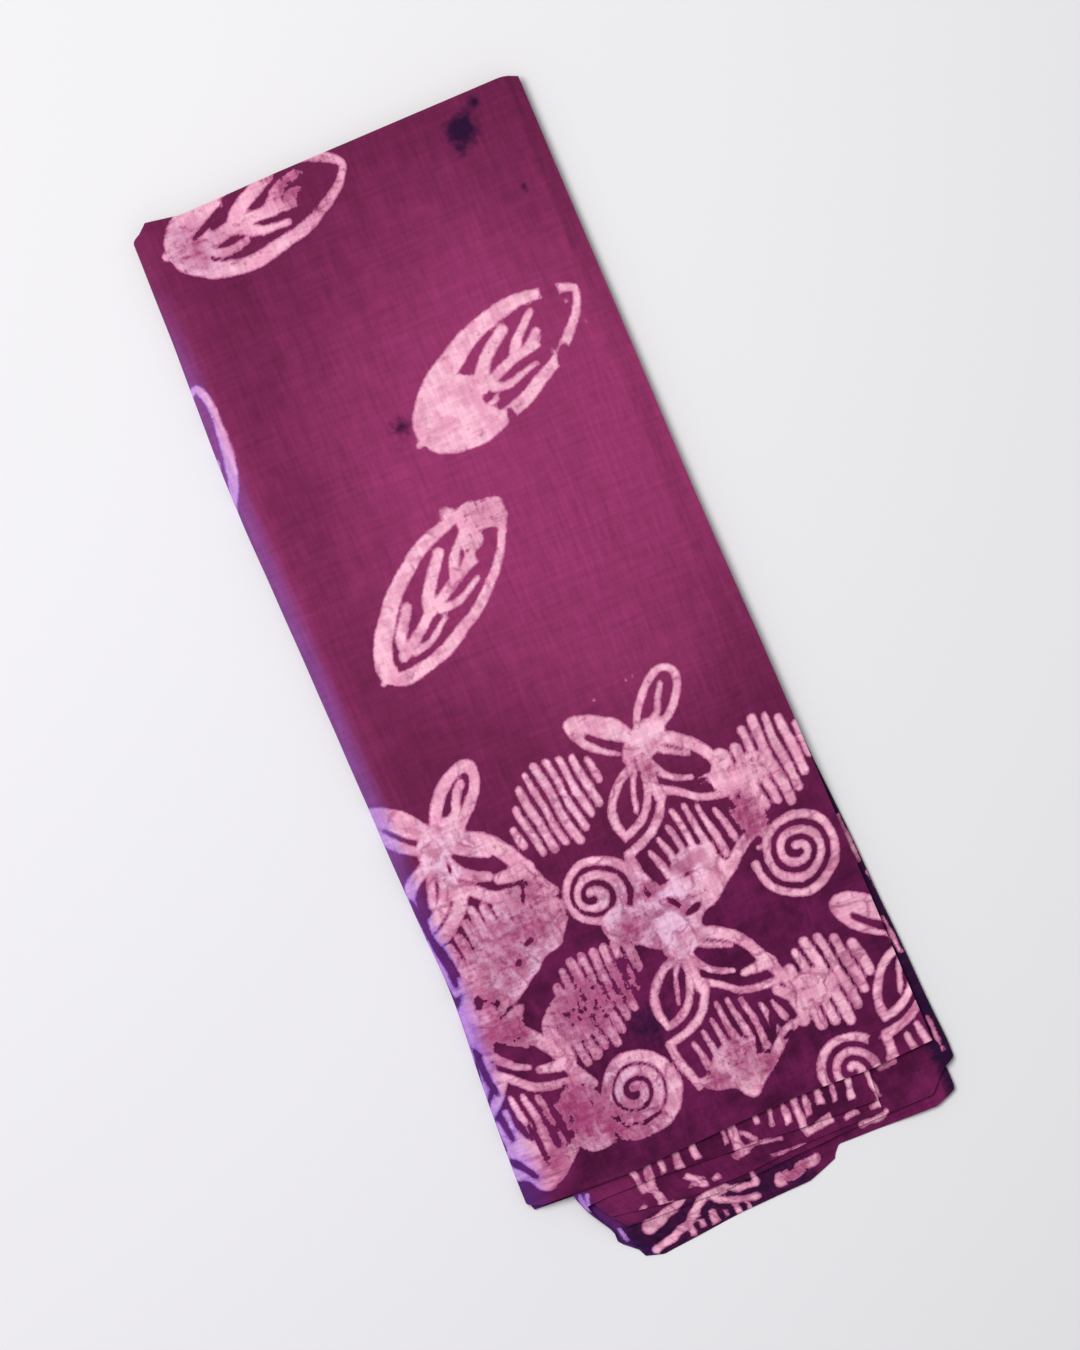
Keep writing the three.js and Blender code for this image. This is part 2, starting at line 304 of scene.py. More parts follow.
def outline(mark, width):
    """The band just inside a mark's edge."""
    return np.minimum(mark, width - mark)


def ellipse(z, middle, half_long, half_short, toward=1):
    """Nearly the distance to an ellipse: k (1 - k) / g, where k is the length of the place once each half
    length is made 1, and g is how fast k grows there."""
    local = (z - middle) * np.conj(toward) / abs(toward)
    k = np.hypot(local.real / half_long, local.imag / half_short)
    g = np.hypot(local.real / half_long ** 2, local.imag / half_short ** 2)
    return k * (1 - k) / np.maximum(g, 1e-4)


def lens(z, start, end, left_half, right_half):
    """Two arcs from start to end, left_half out on the left going from start, and right_half on the right:
    for each side, its circle's radius less the distance to the circle's middle."""
    local = (z - (start + end) / 2) * abs(end - start) / (end - start)
    half = abs(end - start) / 2
    depth = np.where(local.imag < 0, left_half, right_half)
    radius = (half ** 2 + depth ** 2) / (2 * depth)
    return radius - np.hypot(local.real, np.abs(local.imag) + radius - depth)


def smooth_line(spots, steps=5, closed=False):
    """Points on a smooth line through the spots: between two spots it is a cubic whose slope at each spot is
    half the way from the spot before to the spot after."""
    spots = np.array(spots, complex)
    ends = (spots[-1:], spots[:2]) if closed else (spots[:1], spots[-1:])
    run = np.concatenate([ends[0], spots, ends[1]])
    slope = (run[2:] - run[:-2]) / 2
    a, b, slope_a, slope_b = (part[:, None] for part in (run[1:-2], run[2:-1], slope[:-1], slope[1:]))
    t = np.linspace(0, 1, steps, endpoint=False)
    return np.concatenate([cubic(a, b, slope_a, slope_b, t).ravel(), run[-2:-1]])


def stroke(z, spots, width, end_width=None):
    """Half the width less the distance to a smooth line through the spots, taken run by run."""
    path = smooth_line(spots)
    widths = np.linspace(width, width if end_width is None else end_width, len(path))
    best = np.full(z.shape, -FAR)
    for a, b, wide in zip(path[:-1], path[1:], widths):
        along = np.clip(((z - a) * np.conj(b - a)).real / abs(b - a) ** 2, 0, 1)
        best = np.maximum(best, wide / 2 - abs(z - a - along * (b - a)))
    return best


def patch(z, spots):
    """The distance to a smooth closed line, positive where a line across from the place crosses it an odd
    number of times."""
    path = smooth_line(spots, closed=True)
    nearest = np.full(z.shape, FAR)
    inside = np.zeros(z.shape, bool)
    for a, b in zip(path[:-1], path[1:]):
        along = np.clip(((z - a) * np.conj(b - a)).real / abs(b - a) ** 2, 0, 1)
        nearest = np.minimum(nearest, abs(z - a - along * (b - a)))
        straddles = (a.imag > z.imag) != (b.imag > z.imag)
        slope = (b.real - a.real) / (b.imag - a.imag) if b.imag != a.imag else 0
        inside ^= straddles & (z.real < a.real + (z.imag - a.imag) * slope)
    return np.where(inside, nearest, -nearest)


# The leaf's veins: the share of the length, and j times the share of the half width, of each spot; widths
VEINS = [
    ([-0.01 + 0.02j, 0.06 + 0.00j], 3.2, 6.0),
    ([0.14 - 0.06j, 0.34 - 0.07j, 0.54 - 0.15j, 0.67 - 0.24j], 6.4, 5.0),
    ([0.16 - 0.06j, 0.20 + 0.22j, 0.33 + 0.42j], 6.0, 5.4),
    ([0.37 - 0.06j, 0.44 + 0.20j, 0.62 + 0.42j], 8.0, 5.4),
    ([0.57 - 0.14j, 0.63 + 0.08j, 0.77 + 0.26j], 7.0, 3.6),
    ([0.64 - 0.20j, 0.72 - 0.08j], 5.4, 4.2),
    ([0.40 - 0.22j, 0.47 - 0.43j, 0.61 - 0.52j], 5.6, 2.6),
    ([0.18 - 0.22j, 0.27 - 0.40j, 0.38 - 0.42j], 4.6, 3.0),
]


def leaf_body(axis, side, length, half_width):
    """The distance to a leaf's edge. Its half width goes as the share from the base to the power 0.52, times
    the share left to the tip to the power 0.68, and 2.27 makes the most of that 1. The gap to the edge is
    divided by the edge's slope."""
    share = np.clip(axis / length, 1e-3, 1 - 1e-3)
    half = half_width * 2.27 * share ** 0.52 * (1 - share) ** 0.68
    slope = half * (0.52 / share - 0.68 / (1 - share)) / length
    past = np.maximum(-axis, axis - length)
    return np.where(past > 0, -np.hypot(past, side), (half - np.abs(side)) / np.hypot(1, slope))


def leaf(z, base, tip, half_width, filled=0.0, filled_tip=0.0, band=10.0, veins=1.12):
    """A leaf stamp: an outline 4.7 mm thick at the tip, wider by up to band mm along its upper side towards
    the base and by half as much along its lower side, filled up to a share of its length from either end. Its
    veins are strokes, veins times as wide as listed."""
    length = abs(tip - base)
    local = (z - base) / (tip - base) * length
    axis, side = local.real, -local.imag
    body = leaf_body(axis, side, length, half_width)
    left = 1 - np.clip(axis / length, 0, 1)
    edge = 4.7 + band * left * np.where(side > 0, 1, 0.5)
    wave = 3.0 * np.sin(side / 3.4 + 0.6) + 3.2 * np.sin(side / 9 + 1)
    marks = [
        outline(body, edge),
        np.minimum(body, filled * length + wave - axis if filled else -body),
        np.minimum(body, axis - (1 - filled_tip) * length + wave if filled_tip else -body),
    ]
    for spots, wide, end_wide in VEINS:
        spots = [s.real * length - 1j * s.imag * half_width for s in spots]
        marks.append(stroke(local, spots, veins * wide, veins * end_wide))
    return union(*marks)


def flower(z, middle, turn, spread):
    """A flower stamp, turned clockwise by an angle: four petals over a bell, whose stems stand on a foot.
    The wax ran out by spread mm past its lines, or stopped short of them where that is negative."""
    z = (z - middle) * np.exp(-1j * turn)
    upper_right = union(
        outline(ellipse(z, 18.5 - 23.5j, 22.3, 11.8, 1 - 1.1j), 6.1),
        stroke(z, [9 - 13j, 16 - 17j, 19 - 24j, 24 - 31j], 5.0, 4.0),
    )
    upper_left = less(
        ellipse(z, -17 - 19j, 22.5, 10.8, 1 + 0.8j),
        stroke(z, [-24 - 21j, -17 - 14j, -8 - 8j], 2.4, 4.8),
    )
    lower_left = union(
        outline(lens(z, 0 + 1j, -27 + 41j, 11.3, 13.3), 5.9),
        stroke(z, [-6 + 7j, -10 + 14j, -14 + 27j], 4.2, 3.8),
    )
    lower_right = union(
        stroke(z, [12 - 4j, 22 + 1j, 31 + 9j, 37 + 18j, 39.5 + 28j], 8.6, 7.6),
        stroke(z, [2 + 4j, 7 + 13j, 13 + 19j, 21 + 22.5j], 6.0, 4.2),
        stroke(z, [9 + 0j, 16 + 5j, 25 + 10j], 5.4, 3.8),
        stroke(z, [41 + 27j, 34 + 27j, 26 + 26j], 9.0, 5.0),
        stroke(z, [39 + 24j, 43 + 34j, 48 + 44j], 9.0, 7.0),
    )
    heart = union(ellipse(z, 4 - 6j, 15.5, 9.8, 1 - 0.5j), stroke(z, [0 + 0j, 1 + 12j, 1 + 25j], 7.8, 6.4))
    roof = union(
        stroke(z, [4 + 24j, -3 + 34j, -14 + 43j, -28 + 47j], 6.0),
        stroke(z, [3 + 21j, 11 + 27j, 22 + 35j, 41 + 38j], 5.6),
    )
    walls = union(
        stroke(z, [-28 + 47j, -26 + 60j, -21 + 74j], 6.4),
        stroke(z, [38 + 42j, 47 + 53j, 44 + 64j], 7.4),
    )
    foot = patch(z, [
        -24 + 70j, -15 + 79j, -4 + 82j, 2 + 89j, 8 + 91j, 15 + 86j, 22 + 81j, 33 + 71j, 48 + 62j, 40 + 60j,
        30 + 64j, 20 + 71j, 14 + 60j, 4 + 56j, -8 + 60j, -14 + 68j,
    ])
    stems = [
        (-16, 51, 66), (-9, 47, 64), (-2, 42, 62), (4, 35, 62), (11, 36, 64), (18, 39, 68), (26, 46, 62),
        (33, 47, 58),
    ]
    stems = [stroke(z, [x + 1j * top, x + 3.5 + 1j * end], 4.2, 6.2) for x, top, end in stems]
    return spread + union(upper_right, upper_left, lower_left, lower_right, heart, roof, walls, foot, *stems)


def oval(z, middle, half_across, half_down, tilt, pitch=6.3, width=4.6, rise=0.2,
         merge=0.0, shift=0, filled=9.0):
    """A hatched oval: strokes at an even pitch, each as long as the oval is there, with uneven ends. Each
    stroke is set higher than the one on its left. merge is the share of the oval, round a spot shift from
    its middle, where the strokes have run together, thinly where filled is small."""
    local = (z - middle) * np.exp(1j * tilt)
    count = int(half_across / pitch)
    marks = []
    for k in range(-count, count + 1):
        x = k * pitch
        reach = half_down * (1 - (k / (count + 0.5)) ** 2) ** 0.75
        top = x - 1j * (reach + rise * x + 1.8 * np.sin(5.3 * k + 1))
        foot = x + 1j * (reach - rise * x + 1.8 * np.sin(4.1 * k + 2))
        wide = width * (1 + 0.12 * np.sin(3.7 * k + 2))
        marks.append(stroke(local, [top, foot], wide * 0.92, wide * 1.05))
    if merge:
        run = ellipse(local, shift, half_across * merge, half_down * merge * 0.9, 1 - 1j * rise)
        marks.append(np.minimum(run, filled))
    return union(*marks)


def spiral(z, middle, turns, first=2.5, pitch=8.2, width=5.0, grow=0.0, lean=0.0):
    """A spiral stroke: after t turns, clockwise from straight up, it is first + pitch t from its middle. The
    middle itself moves by lean times that distance, so the outer turns lie to one side."""
    local = z - middle
    local = local - lean * abs(local)
    turn = (np.angle(local) / (2 * np.pi) + 0.25) % 1
    best = np.full(z.shape, -FAR)
    for lap in range(int(np.ceil(turns))):
        t = np.clip(turn + lap, 0, turns)
        spot = (first + pitch * t) * np.exp(2j * np.pi * (t - 0.25))
        gap = np.where(turn + lap > turns, abs(local - spot), np.abs(abs(local) - first - pitch * t))
        best = np.maximum(best, (width + grow * t) / 2 - gap)
    start = width / 2 - abs(local + 1j * first)
    return np.maximum(best, start)


def bars(z, rows):
    """Straight bars with square ends, each from across, down to across, down, with its width: the smaller of
    the distances to its nearer end and its nearer side. A bar is a fifth wider at its end than in the
    middle."""
    marks = []
    for a0, d0, a1, d1, wide in rows:
        start, end = a0 + 1j * d0, a1 + 1j * d1
        half = abs(end - start) / 2
        local = (z - (start + end) / 2) * np.conj(end - start) / (2 * half)
        taper = 1 + 0.2 * local.real / half
        marks.append(np.minimum(half - abs(local.real), wide / 2 * taper - abs(local.imag)))
    return union(*marks)


# The stamps of the outer face: kind, middle, how far it reaches, settings
STAMPS = [
    (leaf, 70 + 9j, 66, dict(base=15 + 15j, tip=126 + 3j, half_width=29, filled=0.2, band=14.0, veins=1.35)),
    (leaf, 160 + 138j, 70, dict(base=103 + 163j, tip=217 + 114j, half_width=28, filled=0.35, band=14.0)),
    (leaf, 84 + 240j, 68, dict(base=36 + 275j, tip=133 + 204j, half_width=26, filled_tip=0.16, band=8.5)),
    (leaf, -20 + 135j, 60, dict(base=-44 + 184j, tip=3 + 86j, half_width=25, filled=0.3)),
    (oval, 97 + 373j, 38, dict(half_across=30, half_down=22, tilt=0.19, pitch=6.8, width=4.9)),
    (oval, 215 + 395j, 38, dict(
        half_across=25, half_down=23, tilt=0.05, pitch=7.2, width=5.8, merge=0.45, shift=-10)),
    (oval, 197 + 519j, 40, dict(
        half_across=26, half_down=23, tilt=0.12, pitch=7.4, width=5.9, merge=0.5, shift=-8)),
    (oval, 74 + 482j, 44, dict(
        half_across=32, half_down=24, tilt=0.12, width=5.0, rise=0.35, merge=0.68, shift=-11, filled=0.9)),
    (spiral, 209 + 446j, 32, dict(turns=2.75)),
    (spiral, 94 + 428j, 36, dict(turns=2.5, pitch=7.9, width=5.2, lean=0.24)),
    (spiral, 75 + 536j, 34, dict(turns=2.75, pitch=7.9, width=4.6, grow=1.3, lean=0.1)),
    (spiral, 192 + 571j, 30, dict(turns=2.5, pitch=8.3)),
]

# The flowers: middle, turn and spread
FLOWERS = [
    (150 + 366j, 0.0, -0.4), (27 + 373j, 0.0, 0.7), (131 + 472j, 0.0, -0.6), (7 + 478j, 0.0, -0.2),
    (247 + 514j, 0.08, -0.3),
]

# Pools of wax that ran over the marks: middle, half long, half short, direction
POOLS = [
    (118 + 211j, 14, 9, 1 + 0.1j),
    (103 + 206j, 6, 6, 1),
    (110 + 222j, 8, 5, 1 - 0.7j),
    (122 + 453j, 31, 13, 1 + 0.2j),
    (140 + 461j, 13, 7, 1 - 0.3j),
    (60 + 427j, 17, 22, 1),
    (48 + 440j, 30, 13, 1 - 0.25j),
    (12 + 468j, 12, 18, 1),
    (26 + 476j, 7, 13, 1 + 1j),
    (50 + 549j, 13, 8, 1 + 0.1j),
    (190 + 395j, 8, 14, 1),
    (191 + 419j, 8, 9, 1),
    (42 + 533j, 8, 15, 1),
]

# Small drops that fell beside the marks: middle and radius
DROPS = [
    (186 + 133j, 1.5), (213 + 133.5j, 1.1), (189 + 142j, 1.1), (172 + 128j, 1), (207 + 119j, 1.6),
    (157 + 325j, 0.9), (161 + 325j, 0.9), (176 + 410j, 1.2), (189 + 438j, 1.5), (52 + 351j, 1.2),
    (137 + 328j, 0.9),
]

# Spots inside the marks that the wax missed: middle, half long, half short, direction
MISSES = [
    (44 + 445j, 2.4, 1.4, 1 - 0.4j), (53 + 437j, 3, 1.2, 1 - 0.5j), (15 + 458j, 2.5, 3.5, 1),
    (136 + 448j, 5, 1.6, 1 + 1.3j), (143 + 455j, 5, 1.7, 1 - 0.3j), (157 + 463j, 11, 5.5, 1 - 0.1j),
    (148 + 436j, 2.4, 0.9, 1), (175 + 392j, 4, 1.3, 1 + 0.2j), (202 + 111j, 4.6, 8, 1),
    (155.5 + 168j, 1.8, 5, 1), (194 + 148j, 4, 7, 1 + 0.3j), (30 + 383j, 1, 3, 1),
    (60 + 413j, 1.2, 5, 1 + 0.4j), (80 + 553j, 6, 1.3, 1 - 0.3j), (97 + 470j, 2, 5, 1),
    (209 + 563j, 7, 3.2, 0.3 + 1j), (160 + 531j, 2, 7, 1 + 0.3j), (148 + 536j, 1, 6, 1 + 0.2j),
    (16 + 541j, 11, 1.9, 0.2 + 1j), (10.5 + 532j, 9, 1.5, 0.25 + 1j), (26 + 541j, 8, 1.6, 0.2 + 1j),
    (4 + 553j, 9.5, 2.3, 1 + 1.2j), (165 + 540j, 4, 2, 1 - 0.3j), (43 + 5j, 11, 2, 1 - 0.47j),
    (5 + 419j, 27, 2.6, 0.09 + 1j), (4.6 + 496j, 14, 2, 0.05 + 1j),
]


def printed_outside(z):
    """The outer face's print: the largest of its marks at each place. The places are first shifted by small
    waves about 90 and 25 mm long, because a hand stamp never sets down quite flat."""
    across, down = z.real, z.imag
    z = z + 0.9 * np.sin(down / 15 + 1) + 0.4 * np.sin(across / 5 + down / 6)
    z = z + 1j * (0.9 * np.sin(across / 14 + 2) + 0.4 * np.sin(across / 6 - down / 7))
    wax = np.full(z.shape, BARE)

    def press(stamp, place, reach, **settings):
        """Adds a stamp's mark to the places within its reach."""
        near = abs(z - place) < reach
        if near.any():
            wax[near] = np.maximum(wax[near], stamp(z[near], **settings))

    for stamp, middle, reach, settings in STAMPS:
        own = dict(settings)
        if stamp is not leaf:
            own["middle"] = middle
        press(stamp, middle, reach, **own)
    for middle, turn, spread in FLOWERS:
        press(flower, middle + 10 + 25j, 90, middle=middle, turn=turn, spread=spread)
    ragged = 1.3 * np.sin(across / 4 + down / 7) + 1.1 * np.sin(down / 3.3 - across / 5)
    for middle, long, short, toward in POOLS:
        wax = np.maximum(wax, ellipse(z, middle, long, short, toward) + ragged)
    for middle, radius in DROPS:
        wax = np.maximum(wax, radius - abs(z - middle))
    for middle, long, short, toward in MISSES:
        wax = np.minimum(wax, -ellipse(z, middle, long, short, toward) - 0.3 * ragged)
    return wax


# Where along the band the outer face starts, just past the right turn
OUTSIDE_FROM = 4.02

# What shows of the print on the hems below, past these places down and across
HEM_MARKS_FROM, SIDE_MARKS_FROM = 566, 228

# The bars there on the second and third passes: across, down to across, down, and width. Then the smooth
# strokes of the third pass: spots, width, end width
SECOND_BARS = [
    (26, 576, 26, 586, 2.4), (30, 578, 28, 588, 1.8), (35, 596, 42, 598, 3.4), (44, 599, 49, 598, 3),
    (52, 599, 58, 598, 4), (57, 570, 60, 589, 3.4), (67, 570, 65, 590, 4.2), (65, 590, 68, 601, 4.4),
    (66, 601, 73, 600, 2.2), (74, 570, 74, 583, 2.8), (84, 570, 83, 584, 3.8), (84, 589, 91, 595, 3.6),
    (83, 596, 88, 595, 1.8), (90, 597, 94, 597, 3.4), (94, 570, 94, 583, 3.4), (97, 597, 101, 596, 3.2),
    (113, 591, 121, 589, 2.8), (112, 570, 112, 581, 1.8), (118, 570, 117, 587, 4.8),
    (112, 589, 128, 587, 2.4), (128, 588, 141, 590, 1.6), (121, 578, 128, 586, 2.2),
    (132, 570, 132, 578, 2.4), (141, 570, 139, 582, 1.9), (148, 570, 148, 584, 3.2),
    (155, 570, 154, 590, 3.8), (154, 593, 171, 590, 4.6), (161, 570, 160, 584, 2.8),
    (169, 570, 168, 581, 3.8), (178, 570, 176, 583, 2.4), (187, 570, 185, 585, 3.2),
    (197, 570, 199, 590, 2.8), (192, 594, 199, 593, 3.6), (177, 594, 185, 592, 3),
    (132, 597, 152, 599, 1.5),
]
THIRD_BARS = [
    (76, 616, 76, 622, 2.4), (83, 615, 83, 620, 3.2), (90, 612, 90, 620, 3.8), (97, 615, 97, 619, 2.2),
    (104, 615, 104, 620, 2.8), (110, 616, 110, 620, 2), (118, 600, 119, 608, 3),
    (204, 575, 215, 574, 4.4), (197, 570, 199, 590, 2.8), (39, 602, 41, 611, 2),
    (237, 438, 238.5, 466, 2.2), (240.5, 472, 242, 482, 1.8), (238.3, 499, 240.7, 521, 2.2),
    (240.2, 558, 241.6, 580, 1.8),
]
THIRD_STROKES = [
    ([55 + 608j, 63 + 606j, 71 + 603j, 78 + 600j], 8.0, 3.0),
    ([54 + 621j, 66 + 618j, 76 + 614j, 83 + 608j, 91 + 604j, 101 + 604j], 4.2, 5.2),
    ([91 + 604j, 97 + 609j, 106 + 613j, 117 + 615j], 3.6, 3.0),
    ([101 + 603j, 109 + 607j, 118 + 608j], 3.8, 3.2),
    ([132 + 612j, 143 + 610j, 154 + 608j], 7.5, 4.6),
    ([185 + 600j, 193 + 601j, 200 + 599j], 4.2, 2.8),
]


def printed(along, down, ply, points):
    """The print's distance in mm, everywhere. The outer face is ply A of the first pass. It goes on round
    the outer turn and along the fourth pass's underside by the length of cloth. The hems have their own
    marks."""
    across = points[..., 0]
    centre = outer_centre(down)
    girth = np.pi * (LEVEL[1] - LEVEL[4] + 2 * PLY_OFF - left_sink_depth(down)) / 2
    round_left = np.where(along < 5, 2 * centre - girth - across, centre - girth * (6 - along))
    flat = np.where((along > OUTSIDE_FROM) & (along < 6), round_left, across) + 1j * down
    wax = np.full(down.shape, BARE)
    if ply == "a":
        outside = along > OUTSIDE_FROM
        wax[outside] = printed_outside(flat[outside])
    second, third = along < 1.5, (along > 1.8) & (along < 3.5)
    ragged = 0.3 * np.sin(across / 1.9 + down / 3.1) + 0.25 * np.sin(down / 1.6 - across / 2.3)
    for here, rows, smooth_rows in ((second, SECOND_BARS, []), (third, THIRD_BARS, THIRD_STROKES)):
        here = here & ((down > HEM_MARKS_FROM) | (across > SIDE_MARKS_FROM))
        if here.any():
            marks = [stroke(flat[here], *row) for row in smooth_rows]
            wax[here] = union(bars(flat[here], rows), *marks) + ragged[here] + 0.3
    return wax


def soft_spots(z, rows):
    """The largest of soft round spots: each is its strength times a bell curve of the distance to it."""
    spots = [strength * np.exp(-(abs(z - middle) / reach) ** 2) for middle, reach, strength in rows]
    return np.max(spots, axis=0)


# Where dye crept under the wax, where the wax pools are paler and carry a painted sheen, the stains of dark
# dye, and where the ground near the hems is lighter: middle, reach, strength
SEEPS = [
    (25 + 435j, 30, 0.5), (60 + 425j, 24, 0.6), (70 + 482j, 26, 0.82), (95 + 478j, 16, 0.9),
    (124 + 210j, 16, 0.5), (112 + 228j, 12, 0.4), (18 + 480j, 20, 0.8), (40 + 534j, 22, 1),
    (70 + 552j, 22, 0.55), (192 + 422j, 12, 0.9), (150 + 374j, 8, 0.7), (204 + 395j, 14, 0.3),
    (98 + 6j, 22, 0.9), (52 + 24j, 14, 0.5), (140 + 540j, 16, 0.6), (178 + 520j, 12, 0.3),
    (40 + 441j, 10, 0.6), (76 + 418j, 8, 0.5), (28 + 16j, 18, 0.55), (140 + 610j, 12, 0.8),
    (110 + 452j, 11, 0.75), (125 + 437j, 6, 0.8), (65 + 410j, 11, 0.75), (20 + 460j, 11, 0.85),
    (28 + 480j, 12, 0.85), (60 + 548j, 12, 1), (150 + 548j, 10, 0.75), (120 + 548j, 10, 0.7),
    (189 + 412j, 10, 0.9), (22 + 556j, 14, 0.7), (35 + 455j, 9, 0.6),
]
PALE_WAX_AND_SHEEN_SPOTS = [
    (120 + 450j, 34, 1), (150 + 430j, 18, 0.7), (45 + 440j, 36, 1), (20 + 480j, 26, 0.9),
    (60 + 545j, 34, 1), (30 + 16j, 24, 0.7), (70 + 482j, 30, 0.9), (135 + 535j, 24, 0.6),
    (27 + 380j, 26, 0.7), (131 + 472j, 22, 0.6), (100 + 373j, 26, 0.5), (150 + 366j, 30, 0.4),
]
STAINS = [
    (190 + 12j, 11, 0.95), (186 + 19j, 7.5, 0.7), (195 + 5j, 7, 0.65), (202 + 0j, 5.5, 0.7),
    (210 + 54j, 2.6, 0.8), (97 + 150j, 9, 0.60), (92 + 160j, 7, 0.35), (98 + 505j, 18, 0.62),
    (76 + 60j, 14, 0.12),
]
# Places near the hems where the ground is made lighter
BRIGHTS = [(46 + 588j, 17, 1.0), (232 + 596j, 16, 0.6), (188 + 606j, 20, 0.4), (80 + 600j, 20, 0.2)]


def painted_light_pool(points):
    """Painted light: how much lighter the ground is painted, a bell curve of the distance to the middle of a
    broad patch, in shares of its half sizes across and down, and a little more along the left fold."""
    left = 0.3 * np.exp(-((points[:, 0] / 20) ** 2))
    return left + np.exp(-((points[:, 0] - 155) / 125) ** 2 - ((points[:, 1] - 195) / 165) ** 2)


def painted_violet_light_at(points, along):
    """How strongly the left folds are painted with violet light: 1 at the outer fold, 0.8 at the
    inner one, and none some way in. The outer fold is faded for 16 mm, for 23 mm near the hems, and less at
    its far end. The inner one is faded for 13 mm."""
    outer = points[:, 0] - line("outer left", points[:, 1])
    reach = 16 + 7 * smooth((points[:, 1] - 500) / 50)
    inner = points[:, 0] - line("inner left", points[:, 1])
    near = smooth(1 - outer / reach) * smooth((points[:, 1] + 20) / 150)
    return np.where(along > OUTSIDE_FROM, near * (along > 4.9), 0.8 * smooth((13 - inner) / 11))


def painted_shade_under_top(points, along):
    """Painted shade under the top pass: along the third pass's right side and the right turn, and on the
    third pass's end. Each is a product of soft steps along the band, down and across."""
    across, down = points[:, 0], points[:, 1]
    side = smooth((along - 2.8) / 0.2) * (along < OUTSIDE_FROM)
    side = side * smooth((down - 300) / 100) * smooth((across - 228) / 10)
    end = smooth((along - 1.9) / 0.05) * (along < 3)
    end = end * smooth((down - 599) / 5) * smooth((165 - across) / 20)
    return 0.75 * side + 0.62 * end


# The mesh


def steps(*runs):
    """Places from end to end of several runs, each (start, end, number of steps)."""
    parts = [np.linspace(start, end, count, endpoint=False) for start, end, count in runs]
    return np.concatenate([*parts, [runs[-1][1]]])


def block(alongs, rows_a, rows_b):
    """One block of the cloth: a grid with a column at each place along the band. Its rows run from ply A's
    hem to the doubled fold, half a turn round it, and on to ply B's hem. rows_a and rows_b are places from 0
    at the fold to 1 at the hem. The map's second number is the way down on ply A, and goes on past the
    fold."""
    fold = np.interp(alongs, FAR_FOLD[:, 0], FAR_FOLD[:, 1])[:, None] + PLY_OFF
    hem_a = np.interp(alongs, HEMS[:, 0], HEMS[:, 1])[:, None]
    hem_b = np.interp(alongs, HEMS[:, 0], HEMS[:, 2])[:, None]
    turn = np.linspace(0, np.pi, 7)[1:-1]
    bare = np.zeros_like(fold)
    turning = PLY_OFF * np.cos(turn) + bare
    down_a, down_b = mix(fold, hem_a, rows_a[::-1]), mix(fold, hem_b, rows_b)
    parts = [
        (down_a, PLY_OFF + bare, down_a, "a", 1 - rows_a[::-1]),
        (fold - PLY_OFF * np.sin(turn), turning, fold - PLY_OFF * turn, "a", 1 + turn / np.pi),
        (down_b, bare - PLY_OFF, 2 * fold - PLY_OFF * np.pi - down_b, "b", 2 + rows_b),
    ]
    found = []
    for down, off, map_down, ply, place in parts:
        along = np.broadcast_to(alongs[:, None], down.shape)
        points = band_points(along, down, np.broadcast_to(off, down.shape), ply)
        wax = printed(along, down, ply, points)
        found.append((points, along, map_down, wax, np.broadcast_to(place, down.shape)))
    points, along, map_down, wax, place = (np.concatenate(rows, axis=1) for rows in zip(*found))
    return {"points": points, "along": along, "map down": map_down, "wax": wax, "place": place[0]}


def zipper(left, left_at, right, right_at):
    """Triangles between two lines of points: the line whose next point comes first takes the next step."""
    ahead = np.concatenate([left_at[1:], right_at[1:]])
    on_left = np.arange(len(ahead)) < len(left_at) - 1
    moves = on_left[np.argsort(ahead, kind="stable")]
    i = np.concatenate([[0], np.cumsum(moves)])
    j = np.concatenate([[0], np.cumsum(~moves)])
    nearer = np.where(moves, left[i[1:]], right[j[1:]])
    return np.stack([left[i[:-1]], right[j[:-1]], nearer], 1)


# Rows of the blocks, from the fold to the hem: the even runs are in mm of the first pass's length
LENGTH = 577.0
PRINT_ROWS = steps((0, 46, 25), (46, 84, 12), (84, 176, 50), (176, 197, 6), (197, 288, 49), (288, 318, 10),
                   (318, LENGTH, 168)) / LENGTH
HEM_ROWS = steps((0, 0.94, 9), (0.94, 1, 23))
SIDE_ROWS = steps((0, 0.55, 70), (0.55, 1, 150))
UNDER_ROWS = steps((0, 1, 70))
PLAIN_ROWS = steps((0, 1, 22))

# The cloth's blocks: the second and third passes, the right side, the fourth pass, the top
BLOCKS = [
    (steps((0, 1, 138), (1, 2, 9), (2, 2.9, 132)), HEM_ROWS, HEM_ROWS),
    (steps((2.905, 3, 12), (3, 4, 10), (4, 4.02, 2)), SIDE_ROWS, HEM_ROWS),
    (steps((4.04, 5, 46), (5, 5.25, 3)), UNDER_ROWS, PLAIN_ROWS),
    (steps((5.3, 6, 14), (6, 6.1, 16), (6.1, 6.85, 142), (6.85, 7, 23)), PRINT_ROWS, PLAIN_ROWS),
]


def band_length(along):
    """The length of cloth along the band, in mm: the sum of short straight runs half way down it."""
    samples = steps((0, 6.9999, 1400))
    middle = np.full_like(samples, 300.0)
    path = band_points(samples, middle, np.zeros_like(samples), "a")
    lengths = np.concatenate([[0], np.cumsum(np.linalg.norm(np.diff(path, axis=0), axis=1))])
    return np.interp(along, samples, lengths)


